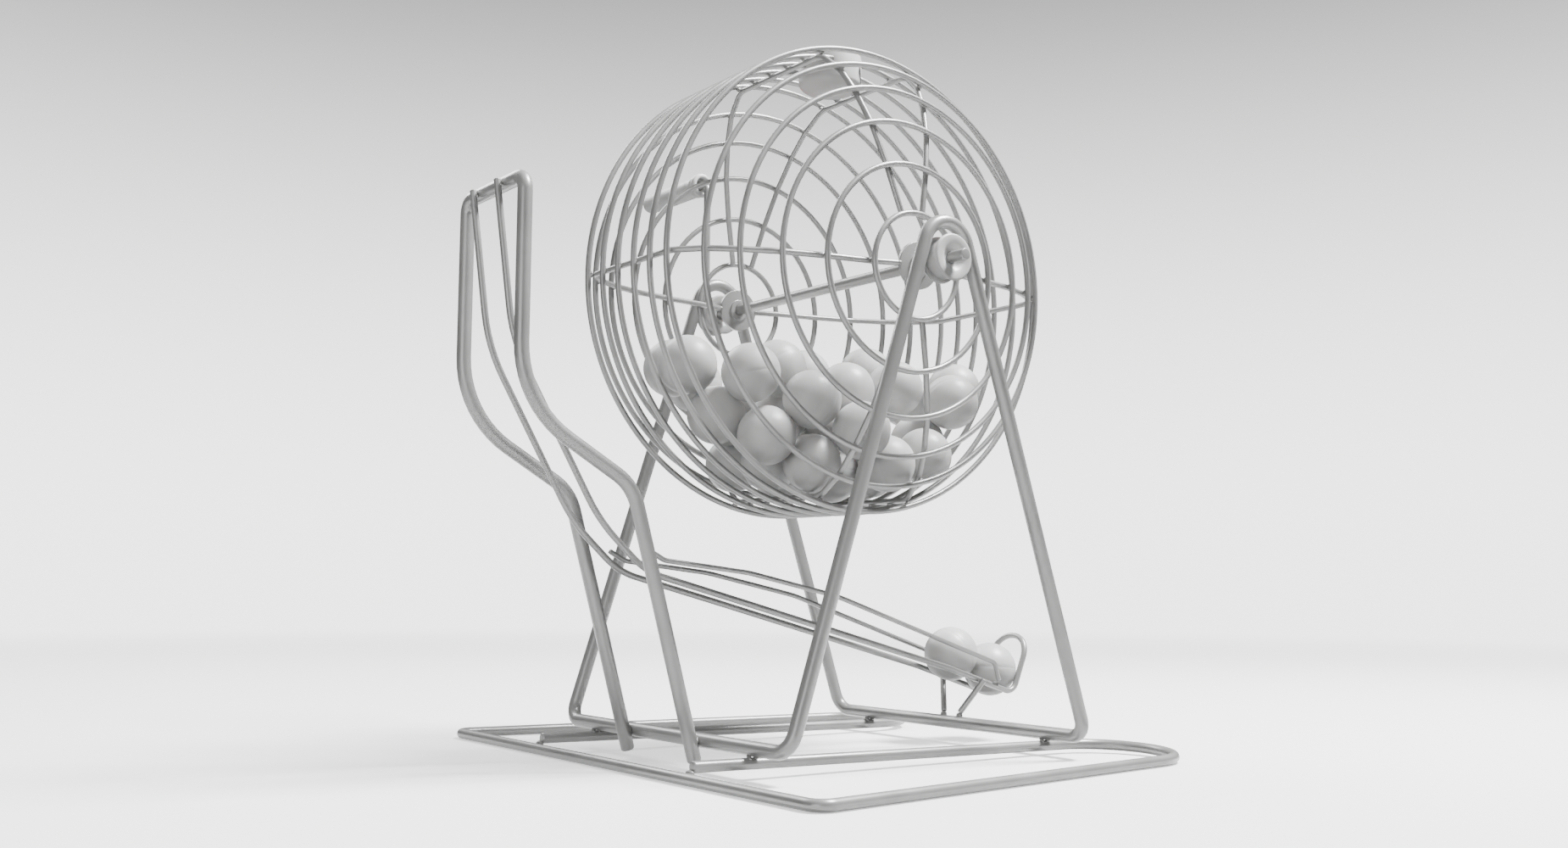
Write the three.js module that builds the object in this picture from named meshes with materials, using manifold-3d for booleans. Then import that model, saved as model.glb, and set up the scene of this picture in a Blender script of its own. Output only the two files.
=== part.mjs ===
// A table-top bingo cage: a wire drum of balls that a crank turns on an axle between two inverted-V
// legs, over a bent-rod base with a wire track that the drawn balls roll down.
// Millimetres, +Z up. The axle lies along Y, the track falls towards +X.
import * as THREE from "three";
import { mergeVertices } from "three/addons/utils/BufferGeometryUtils.js";
import Module from "manifold-3d";

const GAP = 0.3; // air left between pieces that touch

// Balls
const BALL_R = 11;
const CAGE_BALLS = 20;

// Drum
const AXLE_Z = 180.5;
const AXLE_R = 2.15;
const AXLE_FRONT = -84.9;
const RING_WIRE_R = 1.12;
const RIB_WIRE_R = 1.12;
const BODY_R = 88.8; // wire centre of the six equal rings
const BODY_PITCH = 11.37;
const BODY_RINGS = 6;
const DOME = [ // distance from the middle, radius of each dome ring
  [38.9, 79.9],
  [45.4, 69.3],
  [51.2, 55.3],
  [55.2, 38.6],
  [58.3, 19.7],
];
const RING_SEGMENTS = 32;
const RIB_INSET = 2 * RING_WIRE_R + GAP;
const RIB_BEND_R = 9;
const RIB_LEAN = 14; // degrees from upright of the four steep ribs
const HUB_R = 8.75;
const HUB_INNER = 58;
const HUB_OUTER = 59.7;
const COLLAR_R = 4.3;
const COLLAR_STEP = 0.8; // how far the collar stands out of each face of a hub disc

// Ball cup
const CUP_Y = -BODY_PITCH / 2;
const CUP_R = 12.5;
const CUP_WALL = 1.1;
const CUP_POLE_Z = 258;
const CUP_DOME = 5;
const CUP_HEIGHT = 15.5;
const CUP_MOUTH = 15;

// Crank
const CRANK_Y = 84;
const CRANK_THROW = 61;
const CRANK_WIRE_R = 1.5;
const GRIP_START = 87.4;
const GRIP_END = 136;
const GRIP_R = 4.4;

// Legs
const LEG_Y = 74.5;
const LEG_ROD_R = 2.55;
const LEG_FOOT_X = 67.9;
const LEG_APEX_Z = 216.7;
const LEG_ARCH_R = 10.3;
const LEG_FOOT_R = 7;
const BUSHING_R = 8.5;
const BUSHING_HALF = 4.4;

// Base
const BASE_ROD_R = 2;
const BASE_LEFT_X = -94;
const BASE_RIGHT_X = 99;
const BASE_EDGE_Y = 125;
const BASE_TAPER = 0.13;
const RAIL_Y = 53.3;
const BASE_CORNER_R = 5;
const U_BEND_R = 24;
const RAIL_LEFT_X = BASE_LEFT_X + BASE_ROD_R + 0.4; // the rails end against the cross edge
const RAIL_LEFT_Z = 5.7;
const RAIL_RIGHT_Z = 3.4;

// Chute frame
const CHUTE_Y = 23;
const CHUTE_ROD_R = 2.55;
const CHUTE_CORNER_R = 5;
const CHUTE_PROFILE = [ // x, z, bend radius
  [-140.5, 199.6, CHUTE_CORNER_R],
  [-140.5, 123, 36],
  [-97.5, 97.6, 18],
  [-71.2, 3, 0],
];

// Track, guard and their supports
const TRACK_Y = 9.7;
const TRACK_WIRE_R = 1.2;
const TRACK_PROFILE = [ // x, z, bend radius
  [-144.6, 200.5, 0],
  [-137.4, 146, 60],
  [-103, 86, 60],
  [-84, 68.5, 30],
  [-40, 57, 60],
  [58, 31, 60],
  [93.8, 19.6, 5],
  [103.6, 42.9, 0],
];
const GUARD_Y = 14;
const GUARD_WIRE_R = 0.95;
const STOP_ROLL = 9.7;
const TRACK_BALL_X = [65.7, 87.5];

// Guard wires: one either side above the track, bent up at the high end and down at the low end.
const GUARD_PROFILE = [ // x, z, bend radius
  [-85.5, 76, 0],
  [-79, 72.5, 8],
  [-43, 68.4, 60],
  [-2, 59.8, 60],
  [79.5, 32.8, 3],
  [81.8, 25.4, 0],
];
const STRUT_WIRE_R = 1.2;
const STRUT_TOP_X = 75;
const STRUT_FOOT_Y = 4.8;

const STEEL = { color: 0xd2d2d0, roughness: 0.42, metalness: 0.35 };
const PLASTIC = { color: 0xdcdcda, roughness: 0.5, metalness: 0 };
const BALL_WHITE = { color: 0xe6e6e4, roughness: 0.45, metalness: 0 };

const Y = new THREE.Vector3(0, 1, 0);
const Z = new THREE.Vector3(0, 0, 1);

const object = new THREE.Group();
const drum = new THREE.Group();
drum.position.z = AXLE_Z;
object.add(drum);

function addPart(parent, name, geometry, look) {
  const mesh = new THREE.Mesh(geometry, new THREE.MeshStandardMaterial(look));
  mesh.name = name;
  parent.add(mesh);
  return mesh;
}

// A path through fixed stations. Section frames keep one side towards a fixed direction where one
// is given, so that a rod's flat facet stays level all along it.
class StationPath extends THREE.Curve {
  constructor(stations, keepSide, closed = false) {
    super();
    this.stations = stations;
    this.keepSide = keepSide;
    this.closed = closed;
    this.steps = closed ? stations.length : stations.length - 1;
  }
  station(i) {
    const n = this.stations.length;
    return this.stations[this.closed ? (i + n) % n : Math.min(Math.max(i, 0), n - 1)];
  }
  getPointAt(u, target = new THREE.Vector3()) {
    return target.copy(this.station(Math.round(u * this.steps)));
  }
  getTangentAt(u, target = new THREE.Vector3()) {
    const i = Math.round(u * this.steps);
    const before = new THREE.Vector3().subVectors(this.station(i), this.station(i - 1)).normalize();
    const after = new THREE.Vector3().subVectors(this.station(i + 1), this.station(i)).normalize();
    return target.addVectors(before, after).normalize();
  }
  computeFrenetFrames(segments, closed) {
    if (!this.keepSide) return super.computeFrenetFrames(segments, closed);
    const frames = { tangents: [], normals: [], binormals: [] };
    for (let i = 0; i <= segments; i++) {
      const tangent = this.getTangentAt(i / segments);
      const binormal = new THREE.Vector3().crossVectors(tangent, this.keepSide).normalize();
      frames.tangents.push(tangent);
      frames.binormals.push(binormal);
      frames.normals.push(new THREE.Vector3().crossVectors(binormal, tangent));
    }
    return frames;
  }
}

// Stations along straight runs joined by round bends. Each corner is { at, bend }, bend a radius.
function bentStations(corners, closed = false, stepDegrees = 15) {
  const stations = [];
  const count = corners.length;
  corners.forEach(({ at, bend }, i) => {
    const isEnd = !closed && (i === 0 || i === count - 1);
    if (isEnd || !bend) {
      stations.push(at.clone());
      return;
    }
    const into = new THREE.Vector3().subVectors(at, corners[(i + count - 1) % count].at).normalize();
    const out = new THREE.Vector3().subVectors(corners[(i + 1) % count].at, at).normalize();
    const turn = into.angleTo(out);
    const steps = Math.max(1, Math.ceil(THREE.MathUtils.radToDeg(turn) / stepDegrees));
    const start = at.clone().addScaledVector(into, -bend * Math.tan(turn / 2));
    const axis = new THREE.Vector3().crossVectors(into, out).normalize();
    const centre = start.clone().addScaledVector(new THREE.Vector3().crossVectors(axis, into), bend);
    const arm = start.clone().sub(centre);
    for (let k = 0; k <= steps; k++) {
      stations.push(arm.clone().applyAxisAngle(axis, (turn * k) / steps).add(centre));
    }
  });
  return stations;
}

function corner(x, y, z, bend = 0) {
  return { at: new THREE.Vector3(x, y, z), bend };
}

// A round section as a polygon, turned by half a side so that a facet faces the kept side.
function section(radius, sides) {
  const shape = new THREE.Shape();
  for (let i = 0; i < sides; i++) {
    const angle = ((i + 0.5) / sides) * 2 * Math.PI;
    const point = [radius * Math.cos(angle), radius * Math.sin(angle)];
    if (i === 0) shape.moveTo(...point);
    else shape.lineTo(...point);
  }
  shape.closePath();
  return shape;
}

// An open rod or wire along its stations.
function rod(stations, radius, sides = 6, keepSide = null) {
  const path = new StationPath(stations, keepSide);
  return new THREE.ExtrudeGeometry(section(radius, sides), {
    steps: path.steps,
    extrudePath: path,
  });
}

// A rod whose two ends are welded together.
function closedRod(stations, radius, sides = 8) {
  const path = new StationPath(stations, null, true);
  return new THREE.TubeGeometry(path, path.steps, radius, sides, true);
}

// A turned piece about the Y axis. Each profile point is [radius, y].
function turned(profile, segments = 20) {
  const points = profile.map(([r, y]) => new THREE.Vector2(r, y));
  return new THREE.LatheGeometry(points, segments);
}

// ---------------------------------------------------------------- drum

const cageRings = [];
for (let i = 0; i < BODY_RINGS; i++) {
  const y = (i - (BODY_RINGS - 1) / 2) * BODY_PITCH;
  cageRings.push({ name: `body_ring_${i + 1}`, y, radius: BODY_R });
}
DOME.forEach(([y, radius], i) => {
  cageRings.push({ name: `front_dome_ring_${i + 1}`, y: -y, radius });
  cageRings.push({ name: `back_dome_ring_${i + 1}`, y, radius });
});

// Half the angle that the cup takes out of a ring, or 0 where the ring passes clear of it.
function cupGap(y) {
  const reach = CUP_R + RING_WIRE_R + GAP;
  const offset = Math.abs(y - CUP_Y);
  if (offset > CUP_R) return 0;
  const half = Math.max(Math.sqrt(reach ** 2 - offset ** 2), 6.2);
  return Math.asin((offset ? half : CUP_R + GAP) / BODY_R);
}

// Rings are drawn a little outside their circle, so that each flat keeps clear of the ribs inside.
function ringGeometry({ y, radius }) {
  const gap = cupGap(y);
  const drawn = radius / Math.cos(Math.PI / RING_SEGMENTS);
  if (!gap) {
    const ring = new THREE.TorusGeometry(drawn, RING_WIRE_R, 5, RING_SEGMENTS);
    return ring.rotateX(Math.PI / 2).translate(0, y, 0);
  }
  const stations = [];
  for (let i = 0; i <= RING_SEGMENTS; i++) {
    const angle = gap + ((2 * Math.PI - 2 * gap) * i) / RING_SEGMENTS;
    const wire = i === 0 || i === RING_SEGMENTS ? radius : drawn;
    stations.push(new THREE.Vector3(wire * Math.sin(angle), y, wire * Math.cos(angle)));
  }
  return rod(stations, RING_WIRE_R, 5, Y);
}

for (const ring of cageRings) addPart(drum, ring.name, ringGeometry(ring), STEEL);

// The ribs' line: the drum's outline from the front pole to the back pole, moved in by one wire.
// Points are [y, distance from the axle].
function ribOutline() {
  const half = [[BODY_PITCH * 2.5, BODY_R], ...DOME];
  const inset = half.map(([y, radius], i) => {
    const [y0, r0] = half[Math.max(i - 1, 0)];
    const [y1, r1] = half[Math.min(i + 1, half.length - 1)];
    const normal = new THREE.Vector2(r0 - r1, y1 - y0).normalize();
    if (i === 0) normal.set(0.35, 1).normalize();
    return [y - normal.x * RIB_INSET, radius - normal.y * RIB_INSET];
  });
  return [...inset.map(([y, r]) => [-y, r]).reverse(), ...inset];
}

// A rib runs along the outline at a given angle about the axle, 0 being straight up. It stops at
// the smallest rings, or runs on to a point [y, distance from the axle].
function ribGeometry(degrees, end) {
  const angle = THREE.MathUtils.degToRad(degrees);
  const outline = end ? [[-end[0], end[1]], ...ribOutline(), end] : ribOutline();
  const corners = outline.map(([y, r]) =>
    corner(r * Math.sin(angle), y, r * Math.cos(angle), RIB_BEND_R),
  );
  const across = new THREE.Vector3(Math.cos(angle), 0, -Math.sin(angle));
  return rod(bentStations(corners), RIB_WIRE_R, 6, across);
}

const STEEP_RIBS = {
  top_rib_left: -RIB_LEAN,
  top_rib_right: RIB_LEAN,
  bottom_rib_left: 180 + RIB_LEAN,
  bottom_rib_right: 180 - RIB_LEAN,
};
for (const [name, degrees] of Object.entries(STEEP_RIBS)) {
  addPart(drum, name, ribGeometry(degrees), STEEL);
}
for (const [name, degrees] of Object.entries({ level_rib_left: -90, level_rib_right: 90 })) {
  const rib = ribGeometry(degrees, [(HUB_INNER + HUB_OUTER) / 2, HUB_R + GAP + 0.1]);
  addPart(drum, name, rib, STEEL);
}

// A hub disc: a flat disc with a low collar on both faces.
function hubDisc(side) {
  const bore = AXLE_R + GAP;
  const profile = [
    [bore, HUB_INNER - COLLAR_STEP],
    [COLLAR_R, HUB_INNER - COLLAR_STEP],
    [COLLAR_R, HUB_INNER],
    [HUB_R, HUB_INNER],
    [HUB_R, HUB_OUTER],
    [COLLAR_R, HUB_OUTER],
    [COLLAR_R, HUB_OUTER + COLLAR_STEP],
    [bore, HUB_OUTER + COLLAR_STEP],
    [bore, HUB_INNER - COLLAR_STEP],
  ];
  const disc = turned(profile, 24);
  return side < 0 ? disc.rotateZ(Math.PI) : disc;
}
addPart(drum, "front_hub_disc", hubDisc(-1), STEEL);
addPart(drum, "back_hub_disc", hubDisc(1), STEEL);

const axle = turned(
  [
    [0, AXLE_FRONT],
    [AXLE_R - 0.4, AXLE_FRONT],
    [AXLE_R, AXLE_FRONT + 0.4],
    [AXLE_R, CRANK_Y - CRANK_WIRE_R - GAP],
    [0, CRANK_Y - CRANK_WIRE_R - GAP],
  ],
  12,
);
addPart(drum, "axle", axle, STEEL);

// The cup stands out of the drum's top between the rings, open outwards, with a mouth in one side.
async function ballCup() {
  const inner = CUP_R - CUP_WALL;
  const arcs = 5;
  const profile = [];
  for (let i = 0; i <= arcs; i++) {
    const angle = ((Math.PI / 2) * i) / arcs;
    profile.push([CUP_R * Math.sin(angle), CUP_DOME * (1 - Math.cos(angle))]);
  }
  profile.push([CUP_R, CUP_HEIGHT], [inner, CUP_HEIGHT]);
  for (let i = arcs; i >= 0; i--) {
    const angle = ((Math.PI / 2) * i) / arcs;
    const dome = CUP_DOME - CUP_WALL;
    profile.push([inner * Math.sin(angle), CUP_WALL + dome * (1 - Math.cos(angle))]);
  }
  const cup = turned(profile, 24).rotateX(Math.PI / 2);
  const mouth = new THREE.BoxGeometry(CUP_R, CUP_MOUTH, CUP_HEIGHT);
  mouth.translate(CUP_R * 0.5 + 4, 0, CUP_DOME + CUP_HEIGHT / 2);
  const wasm = await Module();
  wasm.setup();
  const solid = toSolid(wasm, cup).subtract(toSolid(wasm, mouth));
  return fromSolid(solid).translate(0, CUP_Y, CUP_POLE_Z - AXLE_Z);
}

function toSolid(wasm, geometry) {
  const plain = geometry.clone();
  plain.deleteAttribute("normal");
  plain.deleteAttribute("uv");
  const merged = mergeVertices(plain, 1e-4);
  const mesh = new wasm.Mesh({
    numProp: 3,
    vertProperties: new Float32Array(merged.attributes.position.array),
    triVerts: new Uint32Array(merged.index.array),
  });
  return new wasm.Manifold(mesh);
}

function fromSolid(solid) {
  const { vertProperties, triVerts, numProp } = solid.getMesh();
  const positions = new Float32Array((vertProperties.length / numProp) * 3);
  for (let i = 0; i < positions.length / 3; i++) {
    positions.set(vertProperties.subarray(i * numProp, i * numProp + 3), i * 3);
  }
  const geometry = new THREE.BufferGeometry();
  geometry.setAttribute("position", new THREE.BufferAttribute(positions, 3));
  geometry.setIndex(new THREE.BufferAttribute(new Uint32Array(triVerts), 1));
  return geometry;
}

addPart(drum, "ball_cup", await ballCup(), PLASTIC);

// The crank: one wire that rises from the axle's end and turns into the handle's rod.
const crank = rod(
  bentStations(
    [
      corner(0, CRANK_Y, -3.2),
      corner(0, CRANK_Y, CRANK_THROW, 4),
      corner(0, GRIP_END - 4, CRANK_THROW),
    ],
    false,
    22.5,
  ),
  CRANK_WIRE_R,
  8,
);
addPart(drum, "crank_arm", crank, STEEL);

// The grip: a hollow sleeve with a grooved end bead and a rounded far end.
const gripBore = CRANK_WIRE_R + 0.4;
const grip = turned(
  [
    [gripBore, GRIP_START],
    [4.6, GRIP_START],
    [5.4, GRIP_START + 0.8],
    [5.4, GRIP_START + 2.4],
    [4.2, GRIP_START + 3.4],
    [4.9, GRIP_START + 4.4],
    [4.9, GRIP_START + 5.8],
    [4.0, GRIP_START + 7],
    [GRIP_R, GRIP_START + 10],
    [GRIP_R, GRIP_END - 4],
    [GRIP_R * 0.87, GRIP_END - 1.9],
    [GRIP_R * 0.5, GRIP_END - 0.5],
    [0, GRIP_END],
    [0, GRIP_END - 3],
    [gripBore, GRIP_END - 3],
    [gripBore, GRIP_START],
  ],
  16,
);
addPart(drum, "crank_grip", grip, PLASTIC).position.z = CRANK_THROW;

// ---------------------------------------------------------------- balls in the drum

// The balls are dropped into the drum and let settle: they sink, push each other apart and stay
// inside the ribs' line.
function settledBalls() {
  const spread = Math.PI * (3 - Math.sqrt(5));
  const clear = 2 * BALL_R + GAP;
  const margin = BALL_R + RIB_WIRE_R + GAP;
  const outline = ribOutline().filter(([y]) => y >= 0);
  const walls = outline.slice(1).map(([y1, r1], i) => {
    const [y0, r0] = outline[i];
    const normal = new THREE.Vector2(r0 - r1, y1 - y0).normalize();
    return { normal, limit: normal.x * y0 + normal.y * r0 - margin };
  });
  walls.push({ normal: new THREE.Vector2(0, 1), limit: outline[0][1] - margin });
  const balls = Array.from({ length: CAGE_BALLS }, (_, i) => {
    const reach = 52 * Math.sqrt((i + 0.5) / CAGE_BALLS);
    return new THREE.Vector3(
      reach * Math.cos(i * spread),
      0.62 * reach * Math.sin(i * spread),
      -46 + 9 * Math.sin(i * 2.3),
    );
  });
  const sinkingPasses = 900;
  for (let pass = 0; pass < sinkingPasses * 2; pass++) {
    if (pass < sinkingPasses) balls.forEach((ball) => (ball.z -= 0.04));
    for (let i = 0; i < CAGE_BALLS; i++) {
      for (let j = i + 1; j < CAGE_BALLS; j++) {
        const apart = new THREE.Vector3().subVectors(balls[j], balls[i]);
        const overlap = clear - apart.length();
        if (overlap <= 0) continue;
        apart.setLength(overlap / 2);
        balls[i].sub(apart);
        balls[j].add(apart);
      }
    }
    for (const ball of balls) {
      for (const { normal, limit } of walls) {
        const radius = Math.hypot(ball.x, ball.z);
        const over = normal.x * Math.abs(ball.y) + normal.y * radius - limit;
        if (over <= 0) continue;
        const scale = (radius - normal.y * over) / radius;
        ball.set(ball.x * scale, ball.y - Math.sign(ball.y) * normal.x * over, ball.z * scale);
      }
    }
  }
  return balls;
}

function ballGeometry() {
  return new THREE.IcosahedronGeometry(BALL_R, 1);
}

settledBalls().forEach((place, i) => {
  addPart(drum, `cage_ball_${i + 1}`, ballGeometry(), BALL_WHITE).position.copy(place);
});

// ---------------------------------------------------------------- stand

// The legs: one closed rod, an arch over each end of the axle and a foot rod along Y on each side.
const turnX = BASE_RIGHT_X - U_BEND_R;

// Height of a foot rod that lies across the sloping rails at x.
function footZ(x) {
  const slope = (RAIL_RIGHT_Z - RAIL_LEFT_Z) / (turnX - RAIL_LEFT_X);
  return RAIL_LEFT_Z + slope * (x - RAIL_LEFT_X) + BASE_ROD_R + LEG_ROD_R + GAP;
}
function legCorner(x, y) {
  return corner(x, y, footZ(x), LEG_FOOT_R);
}
const legCorners = [-1, 1].flatMap((side) => [
  legCorner(side * LEG_FOOT_X, side * LEG_Y),
  corner(0, side * LEG_Y, LEG_APEX_Z, LEG_ARCH_R),
  legCorner(-side * LEG_FOOT_X, side * LEG_Y),
]);
addPart(object, "leg_frame", closedRod(bentStations(legCorners, true), LEG_ROD_R), STEEL);

// A spool bushing: a round-edged flange either side of the leg's arch, a groove between them that
// sits inside the arch, and a dished face at each end.
function bushing(side) {
  const bore = AXLE_R + GAP;
  const groove = LEG_ARCH_R - LEG_ROD_R - GAP - 0.4;
  const half = LEG_ROD_R + GAP;
  const outer = [
    [bore, BUSHING_HALF - 1.8],
    [3.6, BUSHING_HALF - 1.2],
    [5, BUSHING_HALF],
    [6.9, BUSHING_HALF],
    [BUSHING_R, BUSHING_HALF - 1],
    [BUSHING_R, half],
    [groove, half],
  ];
  const inner = outer.map(([r, y]) => [r, -y]);
  const profile = [...inner, ...outer.reverse(), inner[0]];
  return turned(profile, 24).translate(0, side * LEG_Y, AXLE_Z);
}
addPart(object, "front_bushing", bushing(-1), PLASTIC);
addPart(object, "back_bushing", bushing(1), PLASTIC);

// The base: one rod that starts as an inner rail, drops through a U bend to the table, runs back
// along an outer edge, across the left end and the same way up the other side.
function baseEdgeY(x) {
  return BASE_EDGE_Y - BASE_TAPER * (x - BASE_LEFT_X);
}
const floor = BASE_ROD_R;
const baseDrawnR = BASE_ROD_R / Math.cos(Math.PI / 8); // its flats touch the round rod
function baseSide(side) {
  const far = baseEdgeY(turnX);
  return [
    corner(RAIL_LEFT_X, side * RAIL_Y, RAIL_LEFT_Z),
    corner(turnX, side * RAIL_Y, RAIL_RIGHT_Z),
    ...uBend(side, far),
    corner(turnX - 24, side * baseEdgeY(turnX - 24), floor, 0),
    corner(BASE_LEFT_X, side * BASE_EDGE_Y, floor, BASE_CORNER_R),
  ];
}

// The U bend, falling evenly from the rail's height to the table.
function uBend(side, far) {
  const steps = 12;
  const middle = (RAIL_Y + far) / 2;
  const half = (far - RAIL_Y) / 2;
  return Array.from({ length: steps - 1 }, (_, i) => {
    const angle = (Math.PI * (i + 1)) / steps;
    const fall = (1 - Math.cos(angle)) / 2;
    return corner(
      turnX + U_BEND_R * Math.sin(angle),
      side * (middle - half * Math.cos(angle)),
      RAIL_RIGHT_Z + (floor - RAIL_RIGHT_Z) * fall,
    );
  });
}
const base = rod(bentStations([...baseSide(-1), ...baseSide(1).reverse()]), baseDrawnR, 8, Z);
addPart(object, "base_rod", base, STEEL);

// The chute frame: an upside-down U of rod, bent back in to the base.
const chuteSide = (side) =>
  CHUTE_PROFILE.map(([x, z, bend]) => corner(x, side * CHUTE_Y, z, bend));
const chute = rod(
  bentStations([...chuteSide(-1).reverse(), ...chuteSide(1)]),
  CHUTE_ROD_R,
  8,
);
addPart(object, "chute_frame", chute, STEEL);

// The track: two parallel runs of one wire, joined by the arch that stops the balls.
const trackSide = (side) =>
  TRACK_PROFILE.slice(0, -1).map(([x, z, bend]) => corner(x, side * TRACK_Y, z, bend));
function stopArch() {
  const [topX, topZ] = TRACK_PROFILE[TRACK_PROFILE.length - 1];
  return [
    corner(topX, -TRACK_Y, topZ, STOP_ROLL - 0.4),
    corner(topX, TRACK_Y, topZ, STOP_ROLL - 0.4),
  ];
}
const track = rod(
  bentStations([...trackSide(-1), ...stopArch(), ...trackSide(1).reverse()]),
  TRACK_WIRE_R,
  6,
  null,
);
addPart(object, "track_wire", track, STEEL);

for (const [name, side] of [["front_guard_wire", -1], ["back_guard_wire", 1]]) {
  const corners = GUARD_PROFILE.map(([x, z, bend]) => corner(x, side * GUARD_Y, z, bend));
  addPart(object, name, rod(bentStations(corners), GUARD_WIRE_R, 6), STEEL);
}

// Height of the track's wires at x.
function trackHeight(x) {
  const line = bentStations(trackSide(1));
  const i = line.findIndex((point) => point.x > x);
  const [a, b] = [line[i - 1], line[i]];
  return a.z + ((b.z - a.z) * (x - a.x)) / (b.x - a.x);
}

// Two struts stand on the right foot rod and hold the track's wires from outside.
const strutFoot = footZ(LEG_FOOT_X) + LEG_ROD_R + STRUT_WIRE_R + GAP;
const strutTopY = TRACK_Y + TRACK_WIRE_R + STRUT_WIRE_R + 2 * GAP;
for (const [name, side] of [["front_track_strut", -1], ["back_track_strut", 1]]) {
  const foot = corner(LEG_FOOT_X + 0.6, side * STRUT_FOOT_Y, strutFoot);
  const top = corner(STRUT_TOP_X, side * strutTopY, trackHeight(STRUT_TOP_X) + 0.5);
  addPart(object, name, rod(bentStations([foot, top]), STRUT_WIRE_R), STEEL);
}

// ---------------------------------------------------------------- balls on the track

// A ball's centre over the track at x: it sits on both wires, a hair above them.
const [[x0, z0], [x1, z1]] = TRACK_PROFILE.slice(-3, -1);
const fall = Math.atan2(z0 - z1, x1 - x0);
const seat = Math.sqrt((BALL_R + TRACK_WIRE_R + GAP) ** 2 - TRACK_Y ** 2);
TRACK_BALL_X.forEach((x, i) => {
  const ball = addPart(object, `track_ball_${i + 1}`, ballGeometry(), BALL_WHITE);
  ball.position.set(x + seat * Math.sin(fall), 0, trackHeight(x) + seat * Math.cos(fall));
});

// The origin is the middle of the footprint of the whole object, on the table.
const bounds = new THREE.Box3().setFromObject(object);
object.children.forEach((child) => {
  child.position.x -= (bounds.min.x + bounds.max.x) / 2;
  child.position.y -= (bounds.min.y + bounds.max.y) / 2;
  child.position.z -= bounds.min.z;
});

export default object;
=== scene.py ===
"""A table-top bingo cage of bent wire: a drum of balls on an axle, two inverted-V legs, a bent-rod
base and a wire track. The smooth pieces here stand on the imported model's bodies, in metres."""
import math
import random

import bmesh
import bpy
from mathutils import Matrix, Vector


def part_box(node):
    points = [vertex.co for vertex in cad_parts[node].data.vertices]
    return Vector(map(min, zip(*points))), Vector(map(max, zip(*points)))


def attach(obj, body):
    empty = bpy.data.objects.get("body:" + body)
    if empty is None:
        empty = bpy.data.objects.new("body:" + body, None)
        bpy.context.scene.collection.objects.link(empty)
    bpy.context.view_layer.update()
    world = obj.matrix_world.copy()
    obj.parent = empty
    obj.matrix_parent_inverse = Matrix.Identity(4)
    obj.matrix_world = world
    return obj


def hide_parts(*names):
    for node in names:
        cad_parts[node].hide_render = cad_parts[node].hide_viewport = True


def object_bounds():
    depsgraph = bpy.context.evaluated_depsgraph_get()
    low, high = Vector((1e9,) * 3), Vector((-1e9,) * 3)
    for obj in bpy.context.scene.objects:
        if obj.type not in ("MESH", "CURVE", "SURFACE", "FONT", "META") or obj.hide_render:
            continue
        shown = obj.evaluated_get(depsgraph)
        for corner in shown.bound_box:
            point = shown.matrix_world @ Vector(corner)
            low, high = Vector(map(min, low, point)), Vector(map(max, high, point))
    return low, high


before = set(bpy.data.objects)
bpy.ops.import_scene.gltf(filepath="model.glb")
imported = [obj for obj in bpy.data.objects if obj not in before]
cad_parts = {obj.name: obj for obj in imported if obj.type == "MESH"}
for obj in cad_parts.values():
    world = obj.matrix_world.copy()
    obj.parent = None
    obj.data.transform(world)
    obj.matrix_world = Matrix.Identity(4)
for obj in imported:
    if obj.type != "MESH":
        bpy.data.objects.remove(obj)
cad_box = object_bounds()

MM = 0.001
GAP = 0.3
WORN_EDGE = 0.35

# Driving dimensions, in millimetres from the floor point under the middle of the axle.
BALL_R = 11
EXTRA_BALLS = 15
AXLE_Z = 180.5
AXLE_R = 2.15
AXLE_FRONT = -84.9
RING_WIRE_R = 1.12
RIB_WIRE_R = 1.12
BODY_R = 88.8
BODY_PITCH = 11.37
BODY_RINGS = 6
DOME = [(38.9, 79.9), (45.4, 69.3), (51.2, 55.3), (55.2, 38.6), (58.3, 19.7)]
RIB_INSET = 2 * RING_WIRE_R + GAP
RIB_LEAN = 14
RIB_BEND_R = 9
HUB_R = 8.75
HUB_INNER = 58
HUB_OUTER = 59.7
COLLAR_R = 4.3
COLLAR_STEP = 0.8
CUP_Y = -BODY_PITCH / 2
CUP_R = 12.5
CUP_WALL = 1.1
CUP_POLE_Z = 258
CUP_DOME = 5
CUP_HEIGHT = 15.5
CUP_MOUTH = 15
CUP_EDGE_HALF = 6.2
CRANK_Y = 84
CRANK_THROW = 61
CRANK_WIRE_R = 1.5
GRIP_START = 87.4
GRIP_END = 136
GRIP_R = 4.4
LEG_Y = 74.5
LEG_ROD_R = 2.55
LEG_FOOT_X = 67.9
LEG_APEX_Z = 216.7
LEG_ARCH_R = 10.3
LEG_FOOT_R = 7
BUSHING_R = 8.5
BUSHING_HALF = 4.4
BASE_ROD_R = 2
BASE_LEFT_X = -94
BASE_RIGHT_X = 99
BASE_EDGE_Y = 125
BASE_TAPER = 0.13
RAIL_Y = 53.3
BASE_CORNER_R = 5
U_BEND_R = 24
RAIL_LEFT_X = BASE_LEFT_X + BASE_ROD_R + 0.4
RAIL_LEFT_Z = 5.7
RAIL_RIGHT_Z = 3.4
TURN_X = BASE_RIGHT_X - U_BEND_R
CHUTE_Y = 23
CHUTE_ROD_R = 2.55
CHUTE_PROFILE = [(-140.5, 199.6, 5), (-140.5, 123, 36), (-97.5, 97.6, 18), (-71.2, 3, 0)]
TRACK_Y = 9.7
TRACK_WIRE_R = 1.2
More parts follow.
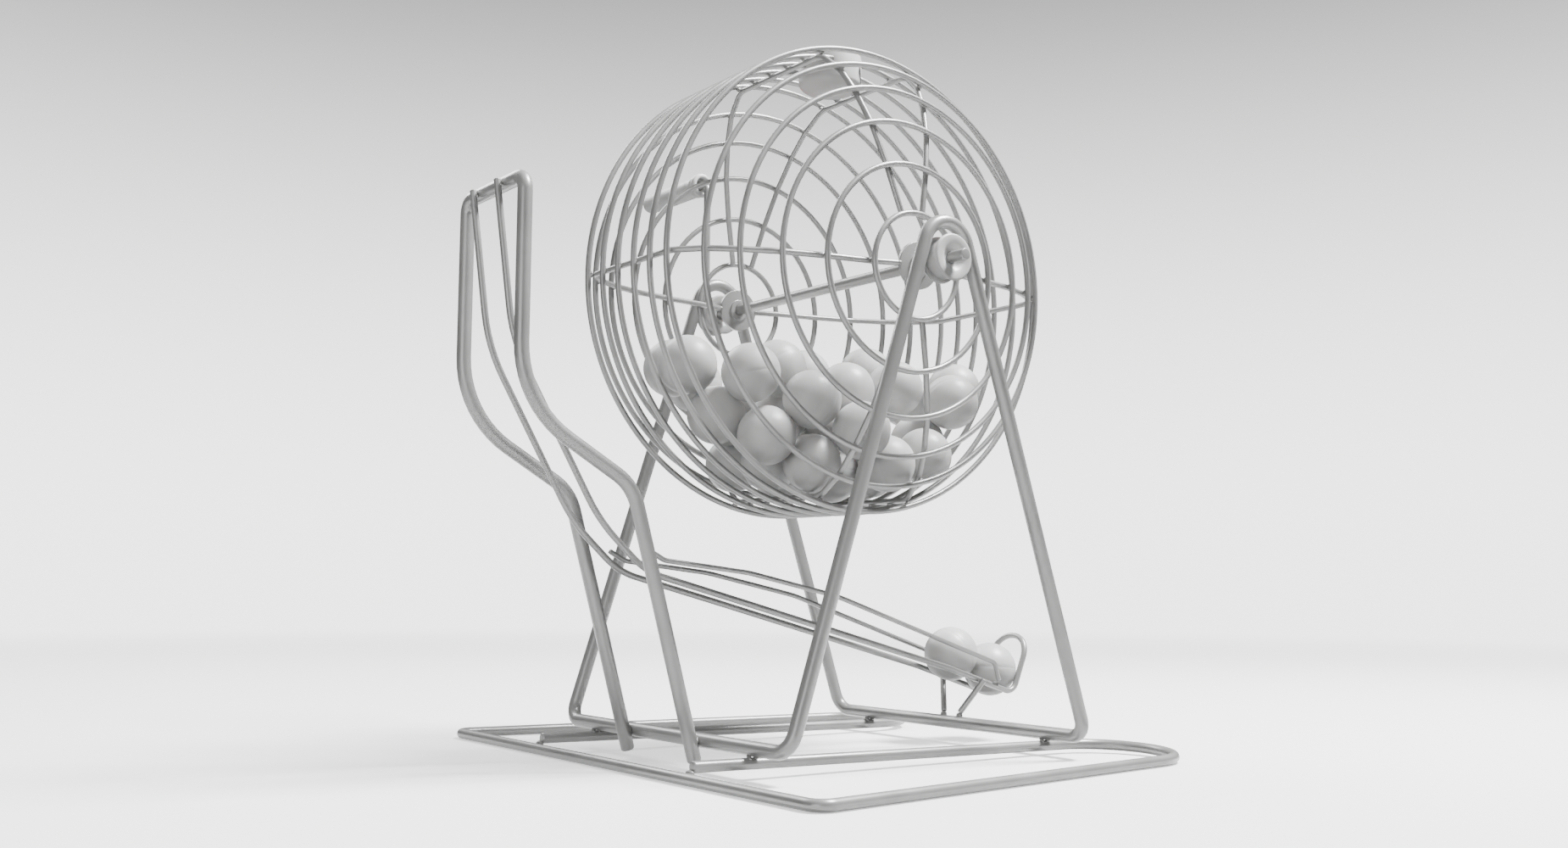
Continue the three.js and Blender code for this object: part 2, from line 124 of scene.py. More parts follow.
TRACK_PROFILE = [
    (-144.6, 200.5, 0),
    (-137.4, 146, 60),
    (-103, 86, 60),
    (-84, 68.5, 30),
    (-40, 57, 60),
    (58, 31, 60),
    (93.8, 19.6, 5),
]
STOP_TOP = (103.6, 42.9)
STOP_BEND_R = 9.3
GUARD_Y = 14
GUARD_WIRE_R = 0.95
GUARD_PROFILE = [
    (-85.5, 76, 0),
    (-79, 72.5, 8),
    (-43, 68.4, 60),
    (-2, 59.8, 60),
    (79.5, 32.8, 3),
    (81.8, 25.4, 0),
]
STRUT_WIRE_R = 1.2
STRUT_TOP_X = 75
STRUT_FOOT_Y = 4.8

# Tones, as linear red, green and blue.
WIRE_TONE = (0.33, 0.33, 0.327)
WIRE_DULL = (0.26, 0.26, 0.257)
WELD_TONE = (0.3, 0.3, 0.296)
WELD_DARK = (0.18, 0.18, 0.176)
PLASTIC_TONE = (0.62, 0.62, 0.615)
PLASTIC_DULL = (0.55, 0.55, 0.545)
BALL_TONE = (0.6, 0.6, 0.595)
BALL_DULL = (0.53, 0.53, 0.525)

# Floor and backdrop, in metres. Lights: name, place in millimetres, size in metres, watts.
FLOOR_RADIUS = 4
FLOOR_FADE = (0.45, 1.6)
FLOOR_GLOW = 0.9
BACKDROP_RADIUS = 9
BACKDROP_STRENGTH = 3.6
WORLD_STRENGTH = 0.32
LIGHTS = [
    ("key", (470, -330, 1120), 0.36, 64),
    ("fill", (-950, -560, 130), 0.8, 8),
    ("rim", (-100, 800, 760), 0.5, 8),
]

# Camera: lens and sensor width in millimetres, place over the floor point, angles in degrees.
CAMERA_LENS = 35
CAMERA_SENSOR = 36
CAMERA_PLACE = (-359.6, -476.6, 65.8)
CAMERA_YAW = 35.67
CAMERA_PITCH = 5.85
CAMERA_ROLL = 0.35

# The point on the floor under the middle of the axle, in the row frame.
axle_low, axle_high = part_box("axle")
ORIGIN = Vector(
    (
        (axle_low[0] + axle_high[0]) / 2,
        axle_low[1] - AXLE_FRONT * MM,
        (axle_low[2] + axle_high[2]) / 2 - AXLE_Z * MM,
    )
)


def at(point):
    """A point in millimetres over the floor point, as a place in the row frame."""
    return ORIGIN + Vector(point) * MM


# ---------------------------------------------------------------- meshes


def add_piece(name, verts, faces, body, material, slot, replaced=(), sharp=38):
    """A smooth mesh piece, in millimetres, that rides on a body and stands for CAD nodes."""
    mesh = bpy.data.meshes.new(name)
    mesh.from_pydata([at(v) for v in verts], [], faces)
    mesh.validate()
    mesh.polygons.foreach_set("use_smooth", [True] * len(mesh.polygons))
    mesh.set_sharp_from_angle(angle=math.radians(sharp))
    mesh.materials.append(material)
    piece = bpy.data.objects.new(name, mesh)
    bpy.context.scene.collection.objects.link(piece)
    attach(piece, body)
    if replaced:
        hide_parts(*replaced)
    return piece


def bent(corners, closed=False, step=6):
    """Points along straight runs joined by round bends. A corner is (x, y, z, bend radius)."""
    points = []
    count = len(corners)
    for i, (x, y, z, bend) in enumerate(corners):
        here = Vector((x, y, z))
        if not bend or (not closed and i in (0, count - 1)):
            points.append(here)
            continue
        into = (here - Vector(corners[i - 1][:3])).normalized()
        out = (Vector(corners[(i + 1) % count][:3]) - here).normalized()
        turn = into.angle(out)
        steps = max(2, math.ceil(math.degrees(turn) / step))
        start = here - into * bend * math.tan(turn / 2)
        axis = into.cross(out).normalized()
        centre = start + axis.cross(into) * bend
        for k in range(steps + 1):
            turned_arm = Matrix.Rotation(turn * k / steps, 3, axis) @ (start - centre)
            points.append(centre + turned_arm)
    return points


def sweep(points, radius, sides=16, closed=False):
    """Vertices and faces of a round rod along points, with softly rounded cut ends."""
    count = len(points)
    tangents = []
    for i in range(count):
        after = points[(i + 1) % count] if closed or i < count - 1 else points[i]
        before = points[i - 1] if closed or i > 0 else points[i]
        tangents.append((after - before).normalized())
    side = tangents[0].orthogonal().normalized()
    rings = []
    for i in range(count):
        if i:
            side = tangents[i - 1].rotation_difference(tangents[i]) @ side
        side = (side - tangents[i] * side.dot(tangents[i])).normalized()
        rings.append((points[i], side.copy(), tangents[i].cross(side), radius))
    if not closed:
        rings = end_rounding(rings, tangents, radius)
    else:
        rings = untwist(rings, tangents)
    verts = []
    for centre, across, up, r in rings:
        for k in range(sides):
            angle = 2 * math.pi * k / sides
            verts.append(centre + (across * math.cos(angle) + up * math.sin(angle)) * r)
    faces = []
    spans = len(rings) if closed else len(rings) - 1
    for i in range(spans):
        j = (i + 1) % len(rings)
        for k in range(sides):
            m = (k + 1) % sides
            faces.append((i * sides + k, i * sides + m, j * sides + m, j * sides + k))
    if not closed:
        last = (len(rings) - 1) * sides
        faces.append(tuple(reversed(range(sides))))
        faces.append(tuple(range(last, last + sides)))
    return verts, faces


def end_rounding(rings, tangents, radius):
    """Adds shrinking sections at both ends, so that a cut end has a worn round edge."""
    edge = radius * WORN_EDGE
    steps = 3
    lead, tail = [], []
    for k in range(steps):
        angle = math.pi / 2 * (1 - k / steps)
        r = radius - edge * (1 - math.cos(angle))
        centre, across, up, _ = rings[0]
        lead.append((centre + tangents[0] * (edge - edge * math.sin(angle)), across, up, r))
        centre, across, up, _ = rings[-1]
        tail.append((centre - tangents[-1] * (edge - edge * math.sin(angle)), across, up, r))
    first = (rings[0][0] + tangents[0] * edge, *rings[0][1:])
    final = (rings[-1][0] - tangents[-1] * edge, *rings[-1][1:])
    return [*lead, first, *rings[1:-1], final, *reversed(tail)]


def untwist(rings, tangents):
    """Turns the sections of a closed rod a little at a time, so that the last meets the first."""
    carried = tangents[-1].rotation_difference(tangents[0]) @ rings[-1][1]
    first = rings[0][1]
    twist = math.atan2(carried.cross(first).dot(tangents[0]), carried.dot(first))
    mended = []
    for i, (centre, across, _, r) in enumerate(rings):
        turn = Matrix.Rotation(twist * i / len(rings), 3, tangents[i])
        across = turn @ across
        mended.append((centre, across, tangents[i].cross(across), r))
    return mended


def lathe(profile, centre, segments=64, axis="Y"):
    """Vertices and faces of a turned piece about Y or Z. The profile is (radius, distance) pairs
    and closes on itself, or starts and ends on the axis."""
    verts, faces = [], []
    rows = []
    for r, along in profile:
        row = []
        ring = 1 if r < 1e-6 else segments
        for k in range(ring):
            angle = 2 * math.pi * k / segments
            a, b = r * math.cos(angle), r * math.sin(angle)
            local = (b, along, a) if axis == "Y" else (a, b, along)
            row.append(len(verts))
            verts.append(Vector(centre) + Vector(local))
        rows.append(row)
    pairs = list(zip(rows, rows[1:]))
    if profile[0][0] > 1e-6:
        pairs.append((rows[-1], rows[0]))
    for one, two in pairs:
        for k in range(segments):
            m = (k + 1) % segments
            if len(one) == 1:
                faces.append((one[0], two[m], two[k]))
            elif len(two) == 1:
                faces.append((one[k], one[m], two[0]))
            else:
                faces.append((one[k], one[m], two[m], two[k]))
    return verts, faces


def softened(profile, radius=0.35, steps=3):
    """A profile with each corner rounded a little."""
    out = []
    count = len(profile)
    closed = profile[0][0] > 1e-6
    for i, point in enumerate(profile):
        if not closed and i in (0, count - 1):
            out.append(point)
            continue
        here = Vector(point)
        before = Vector(profile[i - 1]) - here
        after = Vector(profile[(i + 1) % count]) - here
        reach = min(radius, before.length * 0.45, after.length * 0.45)
        a = here + before.normalized() * reach
        b = here + after.normalized() * reach
        for k in range(steps + 1):
            t = k / steps
            out.append(tuple(a * (1 - t) ** 2 + here * 2 * t * (1 - t) + b * t**2))
    return out


def merged(parts):
    """One (vertices, faces) pair out of several."""
    verts, faces = [], []
    for some_verts, some_faces in parts:
        start = len(verts)
        verts += some_verts
        faces += [tuple(start + i for i in face) for face in some_faces]
    return verts, faces


def bead(centre, radius, stretch, seed):
    """A weld bead: a small lump, stretched along one direction and slightly uneven."""
    made = bmesh.new()
    bmesh.ops.create_icosphere(made, subdivisions=2, radius=1)
    noise = random.Random(seed)
    long_way = Vector(stretch)
    length = long_way.length
    long_way.normalize()
    verts = []
    for vert in made.verts:
        along = long_way * vert.co.dot(long_way)
        lump = radius * (1 + noise.uniform(-0.06, 0.06))
        verts.append(Vector(centre) + (vert.co - along) * lump + along * radius * length)
    faces = [tuple(v.index for v in face.verts) for face in made.faces]
    made.free()
    return verts, faces


# ---------------------------------------------------------------- materials


def node_material(name, color, roughness, metallic):
    """A new material, with its node tree and its Principled shader."""
    material = bpy.data.materials.new(name)
    material.use_nodes = True
    tree = material.node_tree
    shader = tree.nodes["Principled BSDF"]
    shader.inputs["Base Color"].default_value = (*color, 1)
    shader.inputs["Roughness"].default_value = roughness
    shader.inputs["Metallic"].default_value = metallic
    return material, tree, shader


def noise_node(tree, scale, detail):
    """A noise texture on the object's own coordinates."""
    place = tree.nodes.new("ShaderNodeTexCoord")
    noise = tree.nodes.new("ShaderNodeTexNoise")
    noise.inputs["Scale"].default_value = scale
    noise.inputs["Detail"].default_value = detail
    tree.links.new(place.outputs["Object"], noise.inputs["Vector"])
    return noise


def color_variation(tree, shader, noise, low, high):
    """Lets a noise carry the base colour between two tones."""
    ramp = tree.nodes.new("ShaderNodeValToRGB")
    ramp.color_ramp.elements[0].position = 0.3
    ramp.color_ramp.elements[0].color = (*low, 1)
    ramp.color_ramp.elements[1].position = 0.7
    ramp.color_ramp.elements[1].color = (*high, 1)
    tree.links.new(noise.outputs["Fac"], ramp.inputs["Fac"])
    tree.links.new(ramp.outputs["Color"], shader.inputs["Base Color"])


def roughness_variation(tree, shader, noise, low, high):
    """Lets a noise carry the roughness between two values."""
    spread = tree.nodes.new("ShaderNodeMapRange")
    spread.inputs["From Min"].default_value = 0.3
    spread.inputs["From Max"].default_value = 0.7
    spread.inputs["To Min"].default_value = low
    spread.inputs["To Max"].default_value = high
    tree.links.new(noise.outputs["Fac"], spread.inputs["Value"])
    tree.links.new(spread.outputs["Result"], shader.inputs["Roughness"])


def bump(tree, shader, noise, strength, distance):
    """Fine relief from a noise."""
    relief = tree.nodes.new("ShaderNodeBump")
    relief.inputs["Strength"].default_value = strength
    relief.inputs["Distance"].default_value = distance
    tree.links.new(noise.outputs["Fac"], relief.inputs["Height"])
    tree.links.new(relief.outputs["Normal"], shader.inputs["Normal"])


def coated_wire():
    """Pale satin coating on steel: faint orange peel, uneven sheen and slightly dulled patches."""
    material, tree, shader = node_material("coated_wire", WIRE_TONE, 0.34, 0.25)
    shader.inputs["Coat Weight"].default_value = 0.25
    shader.inputs["Coat Roughness"].default_value = 0.22
    patches = noise_node(tree, 38, 4)
    color_variation(tree, shader, patches, WIRE_DULL, WIRE_TONE)
    roughness_variation(tree, shader, patches, 0.3, 0.42)
    bump(tree, shader, noise_node(tree, 420, 2), 0.05, 0.0002)
    return material


def weld_metal():
    """Weld beads under the same coating: rougher and a little darker."""
    material, tree, shader = node_material("coated_weld", WELD_TONE, 0.45, 0.3)
    lumps = noise_node(tree, 900, 3)
    color_variation(tree, shader, lumps, WELD_DARK, WELD_TONE)
    bump(tree, shader, lumps, 0.5, 0.0003)
    return material


def moulded_plastic():
    """Satin moulded plastic with a fine grain."""
    material, tree, shader = node_material("moulded_plastic", PLASTIC_TONE, 0.42, 0)
    shader.inputs["Subsurface Weight"].default_value = 0.05
    shader.inputs["Subsurface Scale"].default_value = 0.002
    patches = noise_node(tree, 60, 3)
    color_variation(tree, shader, patches, PLASTIC_DULL, PLASTIC_TONE)
    roughness_variation(tree, shader, patches, 0.38, 0.5)
    bump(tree, shader, noise_node(tree, 2200, 2), 0.1, 0.0001)
    return material


def ball_plastic():
    """Plain balls: satin, with faint cloudiness and handling marks."""
    material, tree, shader = node_material("ball_plastic", BALL_TONE, 0.4, 0)
    shader.inputs["Subsurface Weight"].default_value = 0.08
    shader.inputs["Subsurface Scale"].default_value = 0.003
    clouds = noise_node(tree, 70, 5)
    color_variation(tree, shader, clouds, BALL_DULL, BALL_TONE)
    roughness_variation(tree, shader, clouds, 0.34, 0.48)
    bump(tree, shader, noise_node(tree, 900, 3), 0.06, 0.0002)
    return material


WIRE = coated_wire()
WELD = weld_metal()
PLASTIC = moulded_plastic()
BALL = ball_plastic()

# ---------------------------------------------------------------- drum


def ring_list():
    """Every ring as (node, y, radius)."""
    rings = []
    for i in range(BODY_RINGS):
        y = (i - (BODY_RINGS - 1) / 2) * BODY_PITCH
        rings.append((f"body_ring_{i + 1}", y, BODY_R))
    for i, (y, radius) in enumerate(DOME):
        rings.append((f"front_dome_ring_{i + 1}", -y, radius))
        rings.append((f"back_dome_ring_{i + 1}", y, radius))
    return rings


def cup_gap(y):
    """Half the angle that the cup takes out of a ring, or 0."""
    reach = CUP_R + RING_WIRE_R + GAP
    offset = abs(y - CUP_Y)
    if offset > CUP_R:
        return 0
    half = max(math.sqrt(reach**2 - offset**2), CUP_EDGE_HALF)
    return math.asin((half if offset > 0.01 else CUP_R + GAP) / BODY_R)


def make_rings():
    for node, y, radius in ring_list():
        gap = cup_gap(y)
        steps = max(48, int(radius * 1.6))
        points = []
        for i in range(steps + (1 if gap else 0)):
            angle = gap + (2 * math.pi - 2 * gap) * i / steps
            x, z = radius * math.sin(angle), radius * math.cos(angle)
            points.append(Vector((x, y, AXLE_Z + z)))
        verts, faces = sweep(points, RING_WIRE_R, 12, closed=not gap)
        add_piece(f"{node}_wire", verts, faces, "drum", WIRE, "wire", [node])


def rib_outline():
    """The drum's outline from front to back, moved in by one wire: (y, distance from the axle)."""
    half = [(BODY_PITCH * 2.5, BODY_R), *DOME]
    inset = []
    for i, (y, radius) in enumerate(half):
        y0, r0 = half[max(i - 1, 0)]
        y1, r1 = half[min(i + 1, len(half) - 1)]
        normal = Vector((r0 - r1, y1 - y0)) if i else Vector((0.35, 1))
        normal.normalize()
        inset.append((y - normal.x * RIB_INSET, radius - normal.y * RIB_INSET))
    return [(-y, r) for y, r in reversed(inset)] + inset


def make_rib(node, degrees, end=None):
    """A rib at an angle about the axle, 0 being straight up. It stops at the smallest rings, or
    runs on to a point (y, distance from the axle)."""
    angle = math.radians(degrees)
    outline = rib_outline()
    if end:
        outline = [(-end[0], end[1]), *outline, end]
    corners = [
        (r * math.sin(angle), y, AXLE_Z + r * math.cos(angle), RIB_BEND_R) for y, r in outline
    ]
    verts, faces = sweep(bent(corners), RIB_WIRE_R, 12)
    add_piece(f"{node}_wire", verts, faces, "drum", WIRE, "wire", [node])


STEEP_RIBS = {
    "top_rib_left": -RIB_LEAN,
    "top_rib_right": RIB_LEAN,
    "bottom_rib_left": 180 + RIB_LEAN,
    "bottom_rib_right": 180 - RIB_LEAN,
}
LEVEL_RIBS = {"level_rib_left": -90, "level_rib_right": 90}


def make_ribs():
    for node, degrees in STEEP_RIBS.items():
        make_rib(node, degrees)
    for node, degrees in LEVEL_RIBS.items():
        make_rib(node, degrees, ((HUB_INNER + HUB_OUTER) / 2, HUB_R + GAP + 0.1))


def make_drum_welds():
    """A bead where each rib crosses each ring, and where cut rings meet the cup."""
    parts = []
    outline = rib_outline()
    for degrees in [*STEEP_RIBS.values(), *LEVEL_RIBS.values()]:
        angle = math.radians(degrees)
        outward = Vector((math.sin(angle), 0, math.cos(angle)))
        along_ring = Vector((math.cos(angle), 0, -math.sin(angle)))
        for _, y, radius in ring_list():
            near_cup = cup_gap(y) > math.radians(abs(degrees)) - 0.02
            if near_cup:
                continue
            rib_y, rib_r = min(outline, key=lambda p: abs(p[0] - y) + abs(p[1] - radius) * 0.5)
            inner_r = radius - RIB_INSET if abs(y) < BODY_PITCH * 2.5 else rib_r
            inner_y = y if abs(y) < BODY_PITCH * 2.5 else rib_y
            ring_point = outward * radius + Vector((0, y, AXLE_Z))
            rib_point = outward * inner_r + Vector((0, inner_y, AXLE_Z))
            middle = (ring_point + rib_point) / 2
            parts.append(bead(middle, 0.85, along_ring * 1.5, len(parts)))
    for degrees in LEVEL_RIBS.values():
        angle = math.radians(degrees)
        for side in (-1, 1):
            end = Vector((math.sin(angle) * (HUB_R + 0.2), side * (HUB_INNER + HUB_OUTER) / 2, AXLE_Z))
            parts.append(bead(end, 1.1, (0, 1.3, 0), len(parts)))
    for _, y, _ in ring_list():
        gap = cup_gap(y)
        for side in (-1, 1) if gap else ():
            angle = side * gap
            place = Vector((BODY_R * math.sin(angle), y, AXLE_Z + BODY_R * math.cos(angle)))
            parts.append(bead(place, 1.2, (0.9, 0, 0), len(parts)))
    verts, faces = merged(parts)
    add_piece("drum_welds", verts, faces, "drum", WELD, "wire", sharp=80)


def make_hubs():
    """Thin discs with a low collar on both faces."""
    bore = AXLE_R + 0.15
    profile = [
        (bore, HUB_INNER - COLLAR_STEP),
        (COLLAR_R, HUB_INNER - COLLAR_STEP),
        (COLLAR_R, HUB_INNER),
        (HUB_R, HUB_INNER),
        (HUB_R, HUB_OUTER),
        (COLLAR_R, HUB_OUTER),
        (COLLAR_R, HUB_OUTER + COLLAR_STEP),
        (bore, HUB_OUTER + COLLAR_STEP),
    ]
    for node, side in (("front_hub_disc", -1), ("back_hub_disc", 1)):
        mirrored = [(r, side * y) for r, y in softened(profile, 0.25)]
        if side < 0:
            mirrored.reverse()
        verts, faces = lathe(mirrored, (0, 0, AXLE_Z))
        add_piece(f"{node}_turned", verts, faces, "drum", WIRE, "wire", [node])


def make_axle():
    end = CRANK_Y - CRANK_WIRE_R - GAP
    profile = [(0, AXLE_FRONT), (AXLE_R, AXLE_FRONT), (AXLE_R, end), (0, end)]
    verts, faces = lathe(softened(profile, 0.5), (0, 0, AXLE_Z), 32)
    add_piece("axle_rod", verts, faces, "drum", WIRE, "wire", ["axle"])


def make_cup():
    """A thin cup with a domed bottom, a rolled lip and a mouth cut in one side."""
    inner = CUP_R - CUP_WALL
    steps = 12
    profile = []
    for i in range(steps + 1):
        angle = math.pi / 2 * i / steps
        profile.append((CUP_R * math.sin(angle), CUP_DOME * (1 - math.cos(angle))))
    lip = CUP_WALL / 2
    profile.append((CUP_R, CUP_HEIGHT - lip))
    for i in range(1, 6):
        angle = math.pi * i / 6
        profile.append((CUP_R - lip + lip * math.cos(angle), CUP_HEIGHT - lip + lip * math.sin(angle)))
    for i in range(steps, -1, -1):
        angle = math.pi / 2 * i / steps
        dome = CUP_DOME - CUP_WALL
        profile.append((inner * math.sin(angle), CUP_WALL + dome * (1 - math.cos(angle))))
    verts, faces = lathe(profile, (0, CUP_Y, CUP_POLE_Z), 96, axis="Z")
    cup = add_piece("ball_cup_moulded", verts, faces, "drum", PLASTIC, "plastic", ["ball_cup"])
    cut_mouth(cup)


def cut_mouth(cup):
    """Cuts the cup's side mouth and applies the cut."""
    made = bmesh.new()
    bmesh.ops.create_cube(made, size=1)
    middle = (CUP_R * 0.5 + 4, CUP_Y, CUP_POLE_Z + CUP_DOME + CUP_HEIGHT / 2)
    for vert in made.verts:
        size = Vector((CUP_R, CUP_MOUTH, CUP_HEIGHT))
        vert.co = at(Vector(middle) + Vector([a * b for a, b in zip(vert.co, size)]))
    mesh = bpy.data.meshes.new("mouth_cutter")
    made.to_mesh(mesh)
    made.free()
    cutter = bpy.data.objects.new("mouth_cutter", mesh)
    bpy.context.scene.collection.objects.link(cutter)
    cut = cup.modifiers.new("mouth", "BOOLEAN")
    cut.operation = "DIFFERENCE"
    cut.solver = "EXACT"
    cut.object = cutter
    bpy.context.view_layer.update()
    shape = cup.evaluated_get(bpy.context.evaluated_depsgraph_get())
    cup.data = bpy.data.meshes.new_from_object(shape)
    cup.modifiers.clear()
    cup.data.polygons.foreach_set("use_smooth", [True] * len(cup.data.polygons))
    cup.data.set_sharp_from_angle(angle=math.radians(38))
    bpy.data.objects.remove(cutter)


def make_crank():
    corners = [
        (0, CRANK_Y, AXLE_Z - 3.2, 0),
        (0, CRANK_Y, AXLE_Z + CRANK_THROW, 4),
        (0, GRIP_END - 4, AXLE_Z + CRANK_THROW, 0),
    ]
    verts, faces = sweep(bent(corners, step=5), CRANK_WIRE_R, 20)
    add_piece("crank_arm_wire", verts, faces, "drum", WIRE, "wire", ["crank_arm"])
    boss = bead((0, CRANK_Y - CRANK_WIRE_R - 0.2, AXLE_Z), 1.7, (0, 0.7, 0), 7)
    add_piece("crank_weld", *boss, "drum", WELD, "wire", sharp=80)


def make_grip():
    bore = CRANK_WIRE_R + 0.35
    profile = [
        (0, GRIP_END - 3),
        (bore, GRIP_END - 3),
        (bore, GRIP_START + 4),
        (3.1, GRIP_START + 3),
        (3.4, GRIP_START),
        (4.6, GRIP_START),
        (5.4, GRIP_START + 0.8),
        (5.4, GRIP_START + 2.4),
        (4.2, GRIP_START + 3.4),
        (4.9, GRIP_START + 4.4),
        (4.9, GRIP_START + 5.8),
        (4.0, GRIP_START + 7),
        (GRIP_R, GRIP_START + 10),
        (GRIP_R, GRIP_END - GRIP_R),
    ]
    rounded = softened(profile, 0.5)
    for i in range(1, 9):
        angle = math.pi / 2 * i / 8
        rounded.append((GRIP_R * math.cos(angle), GRIP_END - GRIP_R + GRIP_R * math.sin(angle)))
    verts, faces = lathe(rounded, (0, 0, AXLE_Z + CRANK_THROW), 48)
    add_piece("crank_grip_moulded", verts, faces, "grip", PLASTIC, "plastic", ["crank_grip"])


# ---------------------------------------------------------------- balls


def ball_mesh(centre, seed):
    """A ball with a shallow mould seam round it, turned its own way."""
    seam_depth, seam_width = 0.05, 0.02
    noise = random.Random(seed)
    spin = Matrix.Rotation(noise.uniform(0, 6.28), 3, "Z") @ Matrix.Rotation(
        noise.uniform(0, 3.14), 3, "X"
    )
    levels = [i / 20 * math.pi for i in range(21)]
    seam = [math.pi / 2 + k * seam_width for k in (-1.5, -0.6, 0.6, 1.5)]
    levels = sorted([level for level in levels if abs(level - math.pi / 2) > 0.01] + seam)
    profile = []
    for level in levels:
        dip = seam_depth if abs(level - math.pi / 2) < seam_width else 0
        r = BALL_R - dip
        profile.append((abs(r * math.sin(level)), -r * math.cos(level)))
    profile[0], profile[-1] = (0, -BALL_R), (0, BALL_R)
    verts, faces = lathe(profile, (0, 0, 0), 40, axis="Z")
    return [Vector(centre) + spin @ v for v in verts], faces


def node_centre(node):
    """The middle of a CAD node, in millimetres over the floor point."""
    low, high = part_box(node)
    return ((Vector(low) + Vector(high)) / 2 - ORIGIN) / MM


def make_node_balls():
    places = []
    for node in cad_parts:
        if node.startswith("cage_ball_"):
            body = "ball_load"
        elif node.startswith("track_ball_"):
            body = "upper_track_ball" if node.endswith("1") else "lower_track_ball"
        else:
            continue
        centre = node_centre(node)
        if body == "ball_load":
            places.append(centre)
        verts, faces = ball_mesh(centre, len(node) + ord(node[-1]) + ord(node[-2]) * 7)
        add_piece(f"{node}_moulded", verts, faces, body, BALL, "ball", [node])
    return places


def drum_walls():
    """Half-planes in (|y|, distance from the axle) that a ball's centre stays behind."""
    margin = BALL_R + RIB_WIRE_R + GAP
    outline = [p for p in rib_outline() if p[0] >= 0]
    walls = [(Vector((0, 1)), outline[0][1] - margin)]
    for (y0, r0), (y1, r1) in zip(outline, outline[1:]):
        normal = Vector((r0 - r1, y1 - y0)).normalized()
        walls.append((normal, normal.dot(Vector((y0, r0))) - margin))
    return walls


def inside_drum(ball, walls):
    """A ball's centre, moved in from the drum's walls. Heights count from the axle."""
    for normal, limit in walls:
        radius = math.hypot(ball.x, ball.z)
        over = normal.x * abs(ball.y) + normal.y * radius - limit
        if over > 0:
            scale = (radius - normal.y * over) / radius
            ball = Vector(
                (ball.x * scale, ball.y - math.copysign(normal.x * over, ball.y), ball.z * scale)
            )
    return ball


def settle_on(fixed):
    """More balls, dropped on the ones that are already in the drum."""
    clear = 2 * BALL_R + GAP
    walls = drum_walls()
    low = [Vector((p.x, p.y, p.z - AXLE_Z)) for p in fixed]
    balls = []
    for i in range(EXTRA_BALLS):
        turn = 2 * math.pi * (i + 0.35) / EXTRA_BALLS
        reach = 66 if i % 4 else 26
        height = -40 + 16 * abs(math.cos(turn)) + 3 * math.sin(i * 2.3)
        balls.append(Vector((reach * math.cos(turn), 26 * math.sin(turn), height)))
    sinking = 300
    drop = 0.05
    for step in range(sinking * 2):
        for i, ball in enumerate(balls):
            if step < sinking:
                ball.z -= drop
            for other in low:
                apart = ball - other
                if apart.length < clear:
                    ball += apart.normalized() * (clear - apart.length)
            for other in balls[i + 1 :]:
                apart = ball - other
                if apart.length < clear:
                    push = apart.normalized() * (clear - apart.length) / 2
                    ball += push
                    other -= push
            balls[i] = inside_drum(ball, walls)
    return [Vector((b.x, b.y, b.z + AXLE_Z)) for b in balls]


def make_balls():
    fixed = make_node_balls()
    for i, centre in enumerate(settle_on(fixed)):
        verts, faces = ball_mesh(centre, i + 50)
        add_piece(f"loose_ball_{i + 1}", verts, faces, "ball_load", BALL, "ball")


# ---------------------------------------------------------------- stand


def foot_z(x):
    """Height of a foot rod that lies across the sloping rails at x."""
    slope = (RAIL_RIGHT_Z - RAIL_LEFT_Z) / (TURN_X - RAIL_LEFT_X)
    return RAIL_LEFT_Z + slope * (x - RAIL_LEFT_X) + BASE_ROD_R + LEG_ROD_R + GAP


def make_legs():
    corners = []
    for side in (-1, 1):
        right, left = side * LEG_FOOT_X, -side * LEG_FOOT_X
        corners += [
            (right, side * LEG_Y, foot_z(right), LEG_FOOT_R),
            (0, side * LEG_Y, LEG_APEX_Z, LEG_ARCH_R),
            (left, side * LEG_Y, foot_z(left), LEG_FOOT_R),
        ]
    verts, faces = sweep(bent(corners, closed=True), LEG_ROD_R, 24, closed=True)
    add_piece("leg_frame_rod", verts, faces, "stand", WIRE, "wire", ["leg_frame"])


def make_bushings():
    """Spools with round-edged flanges either side of the leg's arch and dished faces."""
    bore = AXLE_R + 0.15
    groove = LEG_ARCH_R - LEG_ROD_R - GAP - 0.4
    half = LEG_ROD_R + GAP
    crest = (BUSHING_HALF - half) / 2
    flange = []
    for i in range(13):
        angle = math.radians(-90 + 180 * i / 12)
        radius = BUSHING_R - crest + crest * math.cos(angle)
        flange.append((radius, half + crest * (1 + math.sin(angle))))
    dish = [(5.4, BUSHING_HALF - 0.05), (4.6, BUSHING_HALF - 0.5), (3.9, BUSHING_HALF - 1.1)]
    dish += [(3.2, BUSHING_HALF - 1.6), (bore, BUSHING_HALF - 1.8)]
    outer = [(groove, half), *flange, *dish]
    profile = [(r, -y) for r, y in reversed(outer)] + outer
    for node, side in (("front_bushing", -1), ("back_bushing", 1)):
        verts, faces = lathe(profile, (0, side * LEG_Y, AXLE_Z))
        add_piece(f"{node}_moulded", verts, faces, "stand", PLASTIC, "plastic", [node], sharp=50)


def base_edge_y(x):
    return BASE_EDGE_Y - BASE_TAPER * (x - BASE_LEFT_X)


